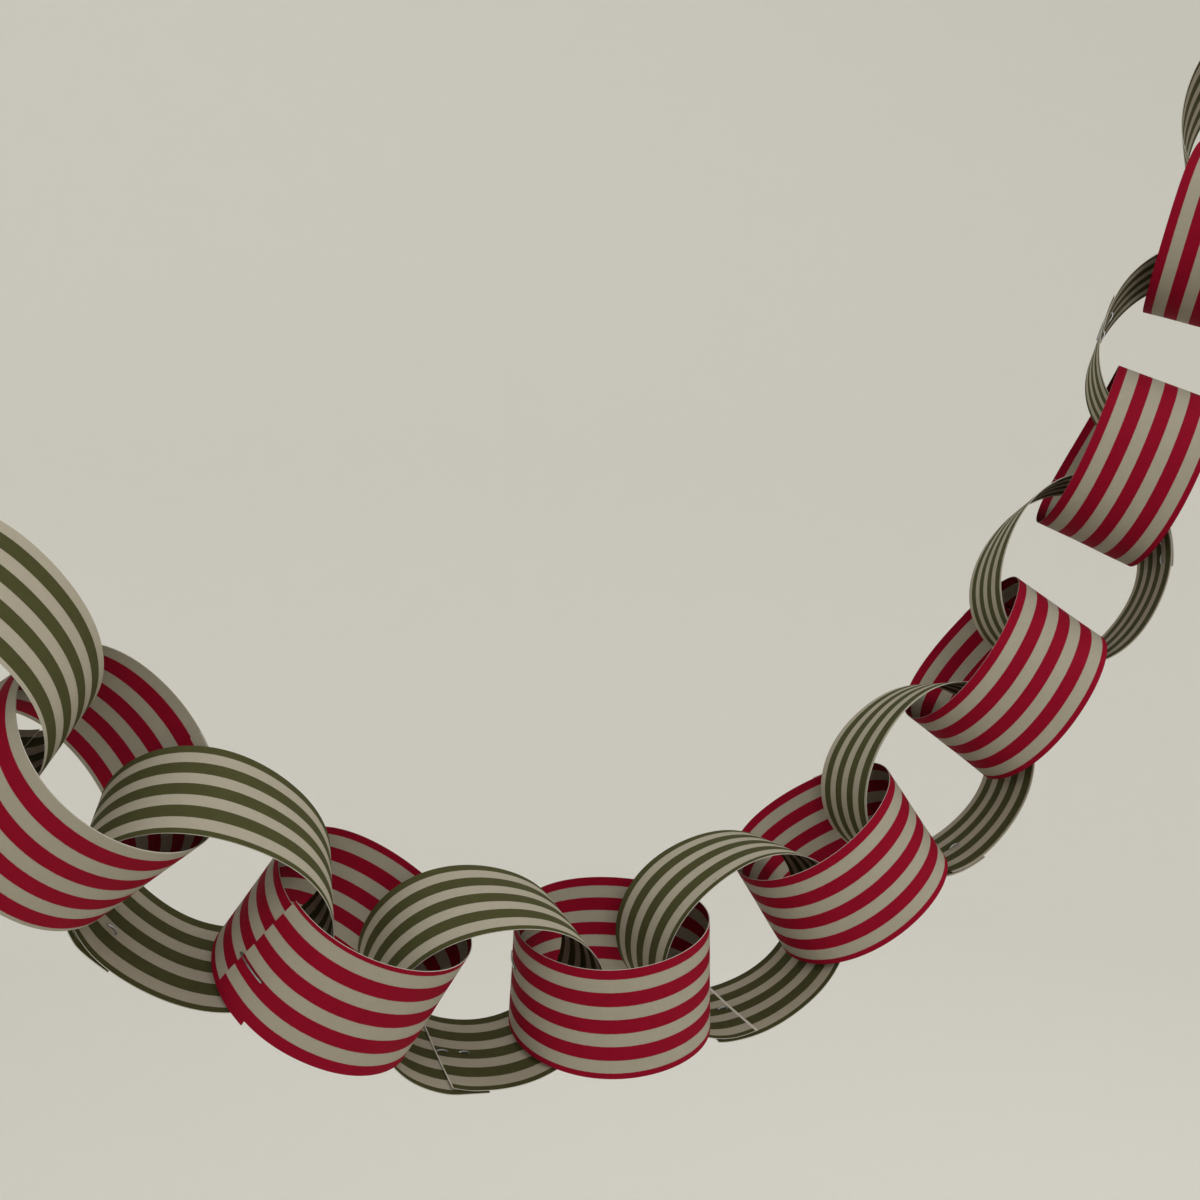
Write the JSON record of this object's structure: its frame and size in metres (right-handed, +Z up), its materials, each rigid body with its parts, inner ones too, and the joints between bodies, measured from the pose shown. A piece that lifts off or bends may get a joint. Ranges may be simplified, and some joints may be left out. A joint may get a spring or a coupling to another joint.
{
  "type": "paper chain garland",
  "caption": "Hanging garland of striped red and green paper loops, threaded through each other and closed with staples.",
  "frame": {"origin": "where the left-hand nail bears inside the first loop, at the middle of its paper", "axes": "+X along the garland towards its high end, +Y away from the viewer, +Z up"},
  "size_m": [0.5037, 0.0721, 0.3363],
  "materials": {
    "red_paper": "matte printed stripes",
    "green_paper": "matte printed stripes",
    "staple_wire": "bright zinc"
  },
  "bodies": {
    "root": {"strip_green_1": "green_paper", "staple_green_1": "staple_wire", "strip_red_1": "red_paper", "staple_red_1": "staple_wire", "strip_green_2": "green_paper", "staple_green_2": "staple_wire", "strip_red_2": "red_paper", "staple_red_2": "staple_wire", "strip_green_3": "green_paper", "staple_green_3": "staple_wire", "strip_red_3": "red_paper", "staple_red_3": "staple_wire", "strip_green_4": "green_paper", "staple_green_4": "staple_wire", "strip_red_4": "red_paper", "staple_red_4": "staple_wire", "strip_green_5": "green_paper", "staple_green_5": "staple_wire", "strip_red_5": "red_paper", "staple_red_5": "staple_wire", "strip_green_6": "green_paper", "staple_green_6": "staple_wire", "strip_red_6": "red_paper", "staple_red_6": "staple_wire", "strip_green_7": "green_paper", "staple_green_7": "staple_wire", "strip_red_7": "red_paper", "staple_red_7": "staple_wire", "strip_green_8": "green_paper", "staple_green_8": "staple_wire"}
  },
  "joints": []
}
